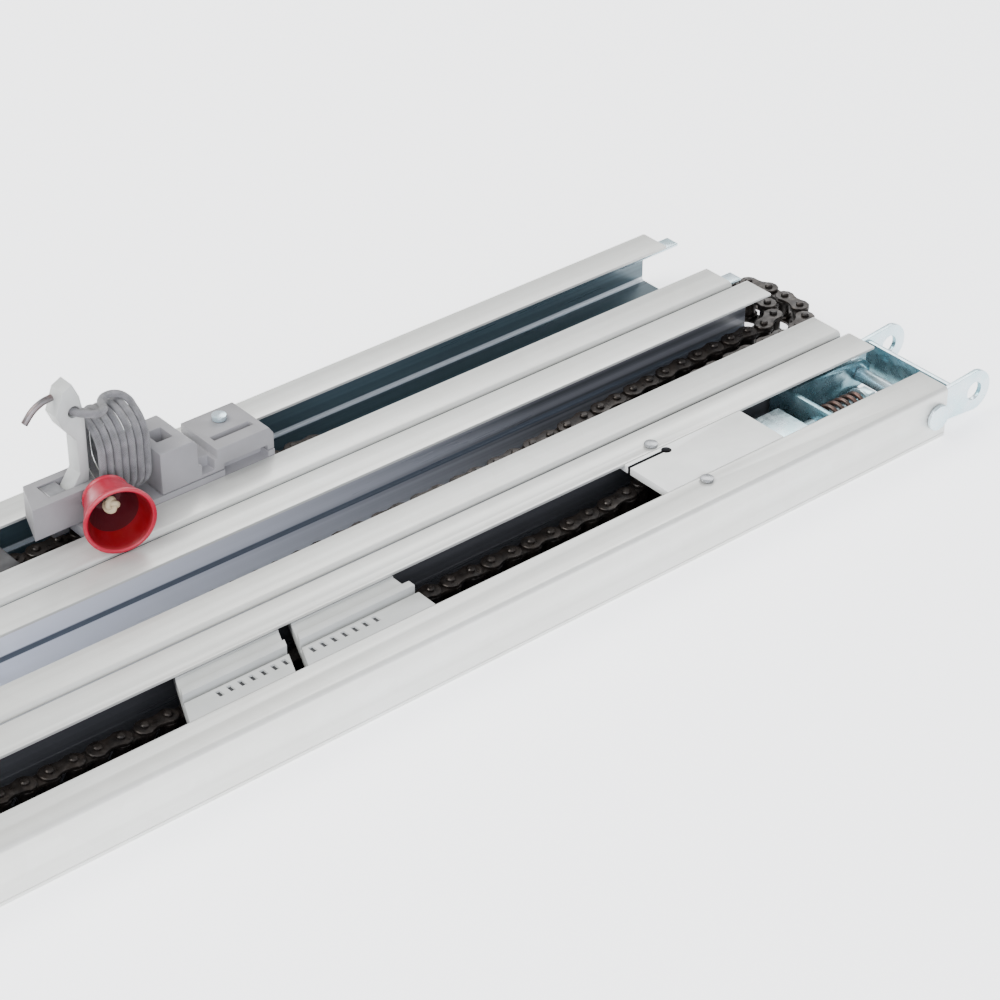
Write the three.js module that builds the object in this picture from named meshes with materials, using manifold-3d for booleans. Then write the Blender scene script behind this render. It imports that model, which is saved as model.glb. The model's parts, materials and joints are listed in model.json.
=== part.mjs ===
// Folded three-part chain rail of a garage door opener, with trolley, chain, tensioner and header bracket.
//
// Frame: millimetres, +Z up. The rails lie side by side along X with their slots facing up.
// The origin is the middle of the middle rail's underside. +X runs to the header bracket,
// +Y from the front rail, which carries the header bracket, to the rear rail, which carries the trolley.

import * as THREE from "three";
import { mergeVertices } from "three/addons/utils/BufferGeometryUtils.js";
import Module from "manifold-3d";

const wasm = await Module();
wasm.setup();

// ---- driving dimensions -------------------------------------------------------------------------

const GAP = 0.3; // running gap between pieces that touch

const RAIL = { length: 1030, width: 56, height: 23.6, lip: 15.5, sheet: 1.2, bend: 2, spacing: 57.5 };
const FRONT_SHIFT = 2; // the folded rails don't lie perfectly flush
const REAR_SHIFT = -6;
const SLOT_HALF = RAIL.width / 2 - RAIL.lip;
const LIP_UNDER = RAIL.height - RAIL.sheet;

const CHAIN = { pitch: 9.525, half: 4.13, height: 13.1, floorGap: GAP, roller: 6.35 };
const CHAIN_LOW = RAIL.sheet + CHAIN.floorGap;
const SPROCKET_TEETH = 8;
const PITCH_RADIUS = CHAIN.pitch / (2 * Math.sin(Math.PI / SPROCKET_TEETH));
const SPROCKET = { thick: 5.2, tip: PITCH_RADIUS + 2.5, hub: 6.4, low: 4.0 };
const GROOVE = { half: 3.0, radius: PITCH_RADIUS + 3.0 };
const SPROCKET_MID = SPROCKET.low + CHAIN.height / 2;

const IDLER_X = 416;
const IDLER_TRAVEL = 4;
const TURN_STRAIGHT = 13; // straight chain that goes with each sprocket turn, past the tooth tips
const DRIVE_X = -488;
const WEB_X = 458; // left face of the idler fork's web
const CROSSBAR_X = 470.5;
const PIVOT = { x: 511.4, z: 12.3, radius: 3 };
const LUG = { offset: 22.5, thick: 2, tipX: 537, tipRadius: 9, rootRadius: 6.5, holeRadius: 4 };
const COVER = { from: 382, to: 442 };
const RIVET = { radius: 1.5, head: 2.7, headHeight: 0.8, x: 398.5, offset: 15.6 };

const SHUTTLE = { from: 96, to: 174, half: 8.5, low: 14.9, high: 20.4 };
const GUIDE = {
  from: 199.3, to: 285, half: 12.2, tunnel: 9.3, foot: 24.4, low: 17.5, ceiling: 21.3, deck: 26,
};
const GUIDE_POCKET = { from: 262, to: 282 };
const BODY = { from: 234, to: 285, half: 12, low: 26.3, step: 32, block: 36, high: 44 };
const TROLLEY_SCREWS = [[254.5, 5, BODY.step], [272, 5, BODY.block]];
const SCREW = { radius: 1.5, head: 2.9, headHeight: 1.8, hole: 1.8 };
const NOSE = { near: -8, far: 8, low: 26.6, high: 40, nearX: 181, farX: 187, rightX: 209 };
const LEVER = { x: 203.5, z: 35, half: 3.7, boss: 4.5, pin: 2, armReach: 9.5 };
const STEM = { left: 204.6, right: 208.5, low: 44, high: 58 };
const EYE = { x: 204.3, z: 70.5, radius: 2.4 };
const LATCH = { from: 191, to: 198, half: 3.9, low: 21.3, high: 39.6 };
const HANK = { from: 209.6, to: 233, near: -10.5, far: 16.5, low: GUIDE.deck + GAP, high: 63.5 };
const CORD_RADIUS = 1.5;
const KNOT_RADIUS = 3.4;
const BELL = { mouth: 13.8, end: 8.2, length: 20.5, wall: 1.6, hole: 2.4 };
const BELL_MOUTH = new THREE.Vector3(203.5, 26.5, RAIL.height + BELL.mouth + GAP);
const BELL_AXIS = new THREE.Vector3(0.28, 0.96, 0).normalize();

// ---- materials ----------------------------------------------------------------------------------

function finish(color, roughness, metalness) {
  return new THREE.MeshStandardMaterial({ color, roughness, metalness });
}

const steelStrip = () => finish(0xdcdcd6, 0.38, 0.75);
const zinc = () => finish(0xcfdde0, 0.28, 0.9);
const chainSteel = () => finish(0x2a2522, 0.42, 0.8);
const toothSteel = () => finish(0x6d6f70, 0.4, 0.85);
const greyPlastic = () => finish(0xb9bbbb, 0.55, 0);
const palePlastic = () => finish(0xd6d7d2, 0.5, 0);
const blackPlastic = () => finish(0x1b1b1c, 0.5, 0);
const redPlastic = () => finish(0xd0101c, 0.35, 0);
const cordFibre = () => finish(0x9c9c9a, 0.9, 0);
const springSteel = () => finish(0x4a3a34, 0.4, 0.8);
const bronze = () => finish(0xb08d4c, 0.4, 0.9);
const knotFibre = () => finish(0xd9c79a, 0.8, 0);

// ---- shape helpers ------------------------------------------------------------------------------

// An outline is a list of [u, v] pairs; holes are outlines too.
function shapeOf(outline, holes = []) {
  const shape = new THREE.Shape(outline.map(([u, v]) => new THREE.Vector2(u, v)));
  shape.holes = holes.map((hole) => new THREE.Path(hole.map(([u, v]) => new THREE.Vector2(u, v))));
  return shape;
}

function extrude(shape, depth) {
  return new THREE.ExtrudeGeometry(shape, { depth, bevelEnabled: false, curveSegments: 8 });
}

// Outline in (x, y), raised from z0 to z1.
function alongZ(outline, z0, z1, holes) {
  return extrude(shapeOf(outline, holes), z1 - z0).translate(0, 0, z0);
}

// Outline in (y, z), run from x0 to x1.
function alongX(outline, x0, x1, holes) {
  const geometry = extrude(shapeOf(outline, holes), x1 - x0);
  const axes = new THREE.Matrix4().makeBasis(
    new THREE.Vector3(0, 1, 0),
    new THREE.Vector3(0, 0, 1),
    new THREE.Vector3(1, 0, 0),
  );
  return geometry.applyMatrix4(axes).translate(x0, 0, 0);
}

// Outline in (x, z), run from y0 to y1.
function alongY(outline, y0, y1, holes) {
  const geometry = extrude(shapeOf(outline, holes), y1 - y0);
  const axes = new THREE.Matrix4().makeBasis(
    new THREE.Vector3(1, 0, 0),
    new THREE.Vector3(0, 0, 1),
    new THREE.Vector3(0, -1, 0),
  );
  return geometry.applyMatrix4(axes).translate(0, y1, 0);
}

function arc(cu, cv, radius, from, to, steps) {
  const points = [];
  for (let i = 0; i <= steps; i += 1) {
    const angle = THREE.MathUtils.degToRad(from + ((to - from) * i) / steps);
    points.push([cu + radius * Math.cos(angle), cv + radius * Math.sin(angle)]);
  }
  return points;
}

function circle(cu, cv, radius, steps = 20) {
  return arc(cu, cv, radius, 0, 360 - 360 / steps, steps - 1);
}

function rectangle(u0, v0, u1, v1) {
  return [[u0, v0], [u1, v0], [u1, v1], [u0, v1]];
}

function box(x0, y0, z0, x1, y1, z1) {
  return alongZ(rectangle(x0, y0, x1, y1), z0, z1);
}

// Booleans: a closed geometry becomes a solid, and back.
function solid(geometry) {
  const bare = geometry.clone();
  bare.deleteAttribute("normal");
  bare.deleteAttribute("uv");
  const merged = mergeVertices(bare, 1e-4);
  return new wasm.Manifold(
    new wasm.Mesh({
      numProp: 3,
      vertProperties: Float32Array.from(merged.attributes.position.array),
      triVerts: Uint32Array.from(merged.index.array),
    }),
  );
}

function geometryOf(body) {
  const mesh = body.getMesh();
  const geometry = new THREE.BufferGeometry();
  geometry.setAttribute("position", new THREE.BufferAttribute(Float32Array.from(mesh.vertProperties), 3));
  geometry.setIndex(new THREE.BufferAttribute(Uint32Array.from(mesh.triVerts), 1));
  geometry.computeVertexNormals();
  return geometry;
}

function join(...geometries) {
  return geometryOf(geometries.map(solid).reduce((a, b) => a.add(b)));
}

function cut(geometry, ...tools) {
  return geometryOf(tools.map(solid).reduce((a, b) => a.subtract(b), solid(geometry)));
}

function overlap(a, b) {
  return geometryOf(solid(a).intersect(solid(b)));
}

function piece(name, geometry, material, position = [0, 0, 0]) {
  const mesh = new THREE.Mesh(geometry, material);
  mesh.name = name;
  mesh.position.set(...position);
  return mesh;
}

function group(position, ...children) {
  const holder = new THREE.Group();
  holder.position.set(...position);
  holder.add(...children.flat());
  return holder;
}

// ---- rails --------------------------------------------------------------------------------------

// C-section with its slot up: outer outline over the two lips, then back inside.
function railSection() {
  const half = RAIL.width / 2;
  const outer = RAIL.bend;
  const inner = RAIL.bend - RAIL.sheet;
  const wall = half - RAIL.sheet;
  const steps = 3;
  return [
    ...arc(-half + outer, outer, outer, 180, 270, steps),
    ...arc(half - outer, outer, outer, 270, 360, steps),
    ...arc(half - outer, RAIL.height - outer, outer, 0, 90, steps),
    [SLOT_HALF, RAIL.height],
    [SLOT_HALF, LIP_UNDER],
    ...arc(wall - inner, LIP_UNDER - inner, inner, 90, 0, steps),
    ...arc(wall - inner, RAIL.sheet + inner, inner, 0, -90, steps),
    ...arc(-wall + inner, RAIL.sheet + inner, inner, 270, 180, steps),
    ...arc(-wall + inner, LIP_UNDER - inner, inner, 180, 90, steps),
    [-SLOT_HALF, LIP_UNDER],
    [-SLOT_HALF, RAIL.height],
    ...arc(-half + outer, RAIL.height - outer, outer, 90, 180, steps),
  ];
}

function rail(name, shift, holes = []) {
  const half = RAIL.length / 2;
  const blank = alongX(railSection(), shift - half, shift + half);
  const geometry = holes.length > 0 ? cut(blank, ...holes) : blank;
  return piece(name, geometry, steelStrip());
}

function rivetHole(x, y) {
  return alongZ(circle(x, y, RIVET.radius + GAP, 12), LIP_UNDER - 6, RAIL.height + 1);
}

// ---- chain: flat bars that hold the place of the links ------------------------------------------

// Ribbon outline of the chain's width about a list of centreline points.
function ribbon(points, half = CHAIN.half) {
  const left = [];
  const right = [];
  points.forEach((point, i) => {
    const before = points[Math.max(i - 1, 0)];
    const after = points[Math.min(i + 1, points.length - 1)];
    const along = new THREE.Vector2().subVectors(after, before).normalize();
    left.push([point.x - along.y * half, point.y + along.x * half]);
    right.push([point.x + along.y * half, point.y - along.x * half]);
  });
  return [...right, ...left.reverse()];
}

function chainBar(name, points, low = CHAIN_LOW) {
  return piece(name, alongZ(ribbon(points), low, low + CHAIN.height), chainSteel());
}

// A run that lies loose: straight where two stations agree, and a smooth drift where they don't.
function run(name, stations) {
  const points = [new THREE.Vector2(...stations[0])];
  stations.slice(1).forEach(([x1, y1], i) => {
    const [x0, y0] = stations[i];
    const steps = Math.abs(y1 - y0) < 0.01 ? 1 : 8;
    for (let step = 1; step <= steps; step += 1) {
      const t = step / steps;
      const y = THREE.MathUtils.lerp(y0, y1, t * t * (3 - 2 * t));
      points.push(new THREE.Vector2(THREE.MathUtils.lerp(x0, x1, t), y));
    }
  });
  return chainBar(name, points);
}

// A fold from one rail to the next, round the ends of their side walls.
// side is +1 at the header end and -1 at the far end.
function fold(name, side, x0, y0, y1, radius, apex) {
  const centre = apex - side * radius;
  const path = new THREE.Path();
  path.moveTo(x0, y0);
  path.lineTo(centre, y0);
  const first = side > 0 ? -Math.PI / 2 : (3 * Math.PI) / 2;
  const middle = side > 0 ? 0 : Math.PI;
  const last = Math.PI / 2;
  path.absarc(centre, y0 + radius, radius, first, middle, side < 0);
  if (y1 - y0 > 2 * radius + 0.5) {
    path.lineTo(apex, y1 - radius);
  }
  path.absarc(centre, y1 - radius, radius, middle, last, side < 0);
  path.lineTo(x0, y1);
  return chainBar(name, path.getPoints(8).filter(isNewPoint));
}

function isNewPoint(point, i, points) {
  return i === 0 || point.distanceTo(points[i - 1]) > 0.01;
}

// Half turn round a sprocket, grooved inside for the teeth. side is +1 where it opens to -X.
function sprocketTurn(name, x, side) {
  const path = new THREE.Path();
  path.moveTo(x - side * TURN_STRAIGHT, -PITCH_RADIUS);
  path.lineTo(x, -PITCH_RADIUS);
  path.absarc(x, 0, PITCH_RADIUS, side > 0 ? -Math.PI / 2 : (3 * Math.PI) / 2, Math.PI / 2, side < 0);
  path.lineTo(x - side * TURN_STRAIGHT, PITCH_RADIUS);
  const points = path.getPoints(12).filter(isNewPoint);
  const bar = alongZ(ribbon(points), SPROCKET.low, SPROCKET.low + CHAIN.height);
  const low = SPROCKET_MID - GROOVE.half;
  const high = SPROCKET_MID + GROOVE.half;
  const open = x - side * (TURN_STRAIGHT + 5);
  const round = alongZ(circle(x, 0, GROOVE.radius, 40), low, high);
  const mouth = box(Math.min(x, open), -GROOVE.radius, low, Math.max(x, open), GROOVE.radius, high);
  return piece(name, cut(bar, round, mouth), chainSteel());
}

// Tooth outline: round seats for the chain's rollers, with a short flat tip between them.
function toothOutline(x) {
  const outline = [];
  const seat = CHAIN.roller / 2 + 0.1;
  const step = (2 * Math.PI) / SPROCKET_TEETH;
  for (let tooth = 0; tooth < SPROCKET_TEETH; tooth += 1) {
    const angle = tooth * step;
    for (let i = 0; i <= 6; i += 1) {
      const swing = THREE.MathUtils.degToRad(-75 + i * 25);
      const inward = PITCH_RADIUS - seat * Math.cos(swing);
      const across = seat * Math.sin(swing);
      outline.push([
        x + inward * Math.cos(angle) - across * Math.sin(angle),
        inward * Math.sin(angle) + across * Math.cos(angle),
      ]);
    }
    for (const side of [-0.09, 0.09]) {
      const tip = angle + step / 2 + side;
      outline.push([x + SPROCKET.tip * Math.cos(tip), SPROCKET.tip * Math.sin(tip)]);
    }
  }
  return outline;
}

function toothPlate(x) {
  const half = SPROCKET.thick / 2;
  return alongZ(toothOutline(x), SPROCKET_MID - half, SPROCKET_MID + half);
}

// ---- front rail: tensioner and header bracket ---------------------------------------------------

const TENSION_Z = SPROCKET_MID;
const FORK = { low: 2.0, high: 19.1, sheet: 1.5, half: 9, web: 2, axle: 3 };
const BOLT = { radius: 3, head: 5, headFrom: 453.6, end: 503 };
const SPRING = { from: 472.9, to: 496.3, outer: 6.2, inner: 4.2 };
const WASHER = { from: 496.6, to: 497.8, outer: 6.6, inner: BOLT.radius + GAP };
const NUT = { from: 498.1, to: 502.5, outer: 5.8, inner: BOLT.radius + GAP };
const ANCHOR = { half: 24, low: 3, high: 20, armFrom: 14.4, armTo: 16.4, armEnd: 6 };

function slotPlate(name, from, to, material, ...tools) {
  const section = [
    [-18, 20.4], [18, 20.4], [18, LIP_UNDER - GAP], [SLOT_HALF - GAP, LIP_UNDER - GAP],
    [SLOT_HALF - GAP, RAIL.height], [-SLOT_HALF + GAP, RAIL.height],
    [-SLOT_HALF + GAP, LIP_UNDER - GAP], [-18, LIP_UNDER - GAP],
  ];
  return piece(name, cut(alongX(section, from, to), ...tools), material);
}

function slotCover() {
  const slitEnd = COVER.from + 19;
  return slotPlate(
    "slot_cover", COVER.from, COVER.to, palePlastic(),
    ...[-1, 1].map((side) => rivetHole(RIVET.x, side * RIVET.offset)),
    alongZ(circle(slitEnd, 9.6, 2, 16), 19, 25),
    box(COVER.from - 1, 9, 19, slitEnd, 10.4, 25),
  );
}

function rivet(name, x, y) {
  const low = RAIL.height + GAP;
  const shank = alongZ(circle(x, y, RIVET.radius, 12), 20.2, low + 0.1);
  const head = alongZ(circle(x, y, RIVET.head, 16), low, low + RIVET.headHeight);
  return piece(name, join(shank, head), zinc());
}

function idlerFork() {
  const plate = [
    ...arc(IDLER_X, 0, FORK.half, 90, 270, 10),
    [WEB_X + FORK.web, -FORK.half],
    [WEB_X + FORK.web, FORK.half],
  ];
  const hole = [circle(IDLER_X, 0, FORK.axle + GAP, 16)];
  const web = alongX(rectangle(-FORK.half, FORK.low, FORK.half, FORK.high), WEB_X, WEB_X + FORK.web, [
    circle(0, TENSION_Z, BOLT.radius + GAP, 16),
  ]);
  return piece("idler_fork", join(
    alongZ(plate, FORK.low, FORK.low + FORK.sheet, hole),
    alongZ(plate, FORK.high - FORK.sheet, FORK.high, hole),
    web,
  ), zinc());
}

function idlerAxle() {
  const shank = alongZ(circle(IDLER_X, 0, FORK.axle, 16), 1.7, 19.5);
  const head = alongZ(circle(IDLER_X, 0, 4.5, 16), FORK.high + GAP, 20.1);
  return piece("idler_axle", join(shank, head), zinc());
}

function idlerSprocket() {
  const hub = alongZ(circle(IDLER_X, 0, SPROCKET.hub, 24), 3.8, 17.3);
  const bore = alongZ(circle(IDLER_X, 0, FORK.axle + GAP, 16), 0, 25);
  return piece("idler_sprocket", cut(join(hub, toothPlate(IDLER_X)), bore), toothSteel());
}

function hexagon(v, radius) {
  return circle(0, v, radius, 6);
}

function tensionBolt() {
  const head = alongX(hexagon(TENSION_Z, BOLT.head), BOLT.headFrom, WEB_X - GAP);
  const shank = alongX(circle(0, TENSION_Z, BOLT.radius, 16), WEB_X - 1, BOLT.end);
  return piece("tension_bolt", join(head, shank), zinc());
}

function ring(name, size, outline, material) {
  return piece(name, alongX(outline, size.from, size.to, [circle(0, TENSION_Z, size.inner, 16)]), material);
}

function tensionAnchor() {
  const bar = rectangle(-ANCHOR.half, ANCHOR.low, ANCHOR.half, ANCHOR.high);
  const cross = alongX(bar, CROSSBAR_X, CROSSBAR_X + 2, [
    circle(0, TENSION_Z, BOLT.radius + 0.5, 16),
  ]);
  const armOutline = [
    [CROSSBAR_X + 1, 3.5], [500, 3.5],
    ...arc(PIVOT.x, PIVOT.z, ANCHOR.armEnd, -90, 90, 8),
    [500, 19.5], [CROSSBAR_X + 1, 19.5],
  ];
  const hole = [circle(PIVOT.x, PIVOT.z, PIVOT.radius + GAP, 16)];
  const arms = [-1, 1].map((side) => {
    const ends = [side * ANCHOR.armFrom, side * ANCHOR.armTo].sort((a, b) => a - b);
    return alongY(armOutline, ...ends, hole);
  });
  return piece("tension_anchor", join(cross, ...arms), zinc());
}

function headerBracket() {
  const lugOutline = [
    ...arc(PIVOT.x, PIVOT.z, LUG.rootRadius, 96, 264, 10),
    ...arc(LUG.tipX, PIVOT.z, LUG.tipRadius, -84, 84, 12),
  ];
  const holes = [
    circle(PIVOT.x, PIVOT.z, PIVOT.radius + GAP, 16),
    circle(LUG.tipX, PIVOT.z, LUG.holeRadius, 20),
  ];
  const lugs = [-1, 1].map((side) => {
    const ends = [side * LUG.offset, side * (LUG.offset + LUG.thick)].sort((a, b) => a - b);
    return alongY(lugOutline, ...ends, holes);
  });
  const web = box(523.5, -LUG.offset - 1, 5.5, 525.5, LUG.offset + 1, 19.1);
  return piece("header_bracket", join(web, ...lugs), zinc());
}

function pivotPin() {
  const wall = RAIL.width / 2;
  const head = alongY(circle(PIVOT.x, PIVOT.z, 5.5), -wall - GAP - 1.6, -wall - GAP);
  const shank = alongY(circle(PIVOT.x, PIVOT.z, PIVOT.radius), -wall - 0.4, wall + 0.6);
  return piece("pivot_pin", join(head, shank), zinc());
}

function pivotClip() {
  const outline = circle(PIVOT.x, PIVOT.z, 5.5);
  const clip = alongY(outline, 25, 26.2, [circle(PIVOT.x, PIVOT.z, PIVOT.radius + GAP)]);
  return piece("pivot_clip", clip, springSteel());
}

// Slot insert that bridges a rail joint: low far strip, raised ridge, groove, near deck.
function coupler(name, nearLeft, nearRight, farLeft, farRight) {
  const foot = 17;
  const section = [
    [-foot, 17.5], [foot, 17.5], [foot, 22.1], [12.2, 22.1], [12.2, 21.6], [3.2, 21.6], [3.2, 25.2],
    [-0.3, 25.2], [-0.3, 20.6], [-2.5, 20.6], [-2.5, 23.4], [-12.2, 23.4], [-12.2, 22.1], [-foot, 22.1],
  ];
  const plan = [[nearLeft, -foot - 1], [nearRight, -foot - 1], [farRight, foot + 1], [farLeft, foot + 1]];
  return piece(name, overlap(alongX(section, 150, 290), alongZ(plan, 10, 30)), palePlastic());
}

// ---- rear rail: drive end -----------------------------------------------------------------------

function driveSprocket() {
  const socket = alongZ(circle(DRIVE_X, 0, 4.5, 6), 0, 14);
  return piece("drive_sprocket", cut(join(
    alongZ(circle(DRIVE_X, 0, 7.4, 24), 0.4, 8.5),
    alongZ(circle(DRIVE_X, 0, SPROCKET.hub, 24), 8, 17.4),
    alongZ(circle(DRIVE_X, 0, 4, 20), 17, 22.8),
    toothPlate(DRIVE_X),
  ), socket), toothSteel());
}

function driveBush() {
  const bush = alongZ(circle(DRIVE_X, 0, 5.9, 24), 17.9, 23.4, [circle(DRIVE_X, 0, 4.3, 24)]);
  return piece("drive_bush", bush, bronze());
}

// ---- trolley ------------------------------------------------------------------------------------

function trolleyGuide() {
  const section = [
    [-GUIDE.foot, GUIDE.low], [-GUIDE.tunnel, GUIDE.low], [-GUIDE.tunnel, GUIDE.ceiling],
    [GUIDE.tunnel, GUIDE.ceiling], [GUIDE.tunnel, GUIDE.low], [GUIDE.foot, GUIDE.low],
    [GUIDE.foot, LIP_UNDER - GAP], [GUIDE.half, LIP_UNDER - GAP], [GUIDE.half, GUIDE.deck],
    [-GUIDE.half, GUIDE.deck], [-GUIDE.half, LIP_UNDER - GAP], [-GUIDE.foot, LIP_UNDER - GAP],
  ];
  const pocket = box(GUIDE_POCKET.from, -14, 23.4, GUIDE_POCKET.to, -7, 27);
  return piece("trolley_guide", cut(
    alongX(section, GUIDE.from, GUIDE.to), pocket,
    ...TROLLEY_SCREWS.map(([x, y]) => alongZ(circle(x, y, SCREW.hole, 12), 20, 28)),
  ), greyPlastic());
}

function trolleyBody() {
  const side = [
    [BODY.from, BODY.low], [BODY.to, BODY.low], [BODY.to, BODY.block - 3], [BODY.to - 2, BODY.block],
    [259, BODY.block], [259, BODY.step], [250.5, BODY.step],
    [250.5, BODY.high - 2], [248.5, BODY.high], [BODY.from, BODY.high],
  ];
  const topPocket = box(238, -4, BODY.high - 6, 245, 4, BODY.high + 1);
  const tailSlot = box(262, -6, BODY.block - 3, 280, -3, BODY.block + 1);
  const nearNotch = box(252, -13, 27.6, 257.6, -7, BODY.step + 1);
  const underSlot = box(GUIDE_POCKET.from, -13, 26, GUIDE_POCKET.to, -7, 28.6);
  return piece("trolley_body", cut(
    alongY(side, -BODY.half, BODY.half), topPocket, tailSlot, nearNotch, underSlot,
    ...TROLLEY_SCREWS.map(([x, y]) => alongZ(circle(x, y, SCREW.hole, 12), 20, 40)),
  ), greyPlastic());
}

function trolleyScrew(name, x, y, seat) {
  const low = seat + GAP;
  const head = alongZ(circle(x, y, SCREW.head, 16), low, low + SCREW.headHeight);
  const shank = alongZ(circle(x, y, SCREW.radius, 12), 22, low + 0.1);
  return piece(name, join(head, shank), zinc());
}

function trolleyNose() {
  const plan = [
    [NOSE.nearX, NOSE.near], [NOSE.rightX, NOSE.near], [NOSE.rightX, NOSE.far], [NOSE.farX, NOSE.far],
  ];
  return piece("trolley_nose", cut(
    alongZ(plan, NOSE.low, NOSE.high),
    box(LATCH.from - 0.4, -LEVER.half - 0.6, 25, NOSE.rightX + 1, LEVER.half + 0.6, 42),
    alongY(circle(LEVER.x, LEVER.z, LEVER.pin + 0.2, 16), -12, 12),
  ), greyPlastic());
}

function releaseLever() {
  const outline = [
    ...arc(LEVER.x, LEVER.z, LEVER.boss, 160, 380, 14),
    [STEM.right, STEM.low], [STEM.right, STEM.high], [208.5, 68], [207.2, 76], [204.6, 82],
    [200.4, 80], [196.9, 71], [199.4, 65], [STEM.left, STEM.high], [STEM.left, STEM.low],
  ];
  const arm = [
    [LEVER.x - 3, LEVER.z - 1.8], [LEVER.x - 3, LEVER.z + 1.8],
    ...arc(LEVER.x - LEVER.armReach, LEVER.z, 1.8, 90, 270, 6),
  ];
  return piece("release_lever", cut(
    join(alongY(outline, -LEVER.half, LEVER.half), alongY(arm, -2, 2)),
    alongY(circle(LEVER.x, LEVER.z, LEVER.pin + 0.2, 16), -12, 12),
    alongY(circle(EYE.x, EYE.z, EYE.radius, 16), -12, 12),
  ), palePlastic());
}

function leverPin() {
  const reach = NOSE.far + 0.5;
  return piece("lever_pin", alongY(circle(LEVER.x, LEVER.z, LEVER.pin, 16), -reach, reach), zinc());
}

function tube(points, radius, steps, sides = 8) {
  const curve = new THREE.CatmullRomCurve3(points.map((point) => new THREE.Vector3(...point)));
  const section = shapeOf(circle(0, 0, radius, sides));
  return new THREE.ExtrudeGeometry(section, { steps, extrudePath: curve, bevelEnabled: false });
}

function releaseHook() {
  const arch = [[198.2, 0, 77.6], [193.8, 0, 77.0], [189.6, 0, 74.9], [185.8, 0, 70.9]];
  return piece("release_hook", tube(arch, 1.4, 10), springSteel());
}

function latch() {
  const block = box(LATCH.from, -LATCH.half, LATCH.low, LATCH.to, LATCH.half, LATCH.high);
  const window = box(LATCH.from + 0.9, -2.4, 30.6, LATCH.to + 1, 2.4, 38.8);
  return piece("latch", cut(block, window), toothSteel());
}

// ---- release cord -------------------------------------------------------------------------------

function cordHank() {
  const radius = (HANK.far - HANK.near) / 2;
  const middle = (HANK.far + HANK.near) / 2;
  const outline = [
    ...arc(middle, HANK.low + radius, radius, 180, 360, 12),
    ...arc(middle, HANK.high - radius, radius, 0, 180, 12),
  ];
  return piece("cord_hank", alongX(outline, HANK.from, HANK.to), cordFibre());
}

function cordLead() {
  const top = HANK.high + CORD_RADIUS + 0.4;
  const route = [
    [211.8, -8.2, top + 3.85], [215.8, -5.5, top + 2.65], [217.8, -1.5, top + 1.55],
    [219.6, 2.6, top + 0.75], [222.6, 5.2, top + 0.25], [226.2, 5.6, top],
  ];
  return piece("cord_lead", tube(route, CORD_RADIUS, 9), cordFibre());
}

function alongBell(distance) {
  return BELL_MOUTH.clone().addScaledVector(BELL_AXIS, distance);
}

function releaseBell() {
  const { mouth, end, length, wall, hole } = BELL;
  const profile = [
    [mouth, 0], [mouth, 1.6], [mouth - 0.9, 2.4], [end, length - 2.4], [end - 1.8, length],
    [hole, length], [hole, length - 2], [end - 2.6, length - 2], [end - wall, length - 4],
    [mouth - 0.9 - wall, 2.4], [mouth - wall, 0], [mouth, 0],
  ];
  const geometry = new THREE.LatheGeometry(profile.map(([r, h]) => new THREE.Vector2(r, h)), 36);
  const turn = new THREE.Quaternion().setFromUnitVectors(new THREE.Vector3(0, 1, 0), BELL_AXIS);
  return piece("release_bell", geometry.applyQuaternion(turn), redPlastic(), BELL_MOUTH.toArray());
}

function cordTail() {
  const ends = [BELL.length - 5, BELL.length - 2.5, BELL.length + 0.2].map((d) => alongBell(d).toArray());
  return piece("cord_tail", tube(ends, CORD_RADIUS, 2), cordFibre());
}

function cordKnot() {
  const centre = alongBell(BELL.length - 8.8).toArray();
  return piece("cord_knot", new THREE.SphereGeometry(KNOT_RADIUS, 12, 8), knotFibre(), centre);
}

// ---- assembly -----------------------------------------------------------------------------------

const LOOSE = { left: -504.1, right: 499.7, foldLeft: -504.4, foldRight: 500 };
const STRAND_STEP = 9.4; // distance between two strands that lie side by side

// Two strands side by side: stations give the near one, and the far one lies a step beyond it.
function strands(prefix, stations) {
  return [
    run(`${prefix}_near`, stations),
    run(`${prefix}_far`, stations.map(([x, y]) => [x, y + STRAND_STEP])),
  ];
}

function frontRail() {
  const runEnd = IDLER_X - TURN_STRAIGHT - IDLER_TRAVEL - 0.5;
  const pinBore = alongY(circle(PIVOT.x, PIVOT.z, PIVOT.radius + GAP), -40, 40);
  return group(
    [0, -RAIL.spacing, 0],
    rail("rail_front", FRONT_SHIFT, [
      pinBore, ...[-1, 1].map((side) => rivetHole(RIVET.x, side * RIVET.offset)),
    ]),
    slotCover(),
    rivet("cover_rivet_near", RIVET.x, -RIVET.offset),
    rivet("cover_rivet_far", RIVET.x, RIVET.offset),
    idlerFork(),
    idlerAxle(),
    idlerSprocket(),
    tensionBolt(),
    tensionAnchor(),
    ring("tension_spring", SPRING, circle(0, TENSION_Z, SPRING.outer), springSteel()),
    ring("tension_washer", WASHER, circle(0, TENSION_Z, WASHER.outer), zinc()),
    ring("tension_nut", NUT, hexagon(TENSION_Z, NUT.outer), zinc()),
    headerBracket(),
    pivotPin(),
    pivotClip(),
    coupler("rail_coupler_right", 212.4, 271, 228, 271),
    coupler("rail_coupler_left", 163, 206.9, 179, 222.5),
    run("chain_front_near", [[LOOSE.left, -9], [100, -9], [380, -9], [runEnd, -PITCH_RADIUS]]),
    run("chain_front_far", [[LOOSE.left, 6.8], [100, 6.8], [380, 6.8], [runEnd, PITCH_RADIUS]]),
    sprocketTurn("chain_turn_idler", IDLER_X, 1),
  );
}

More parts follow.
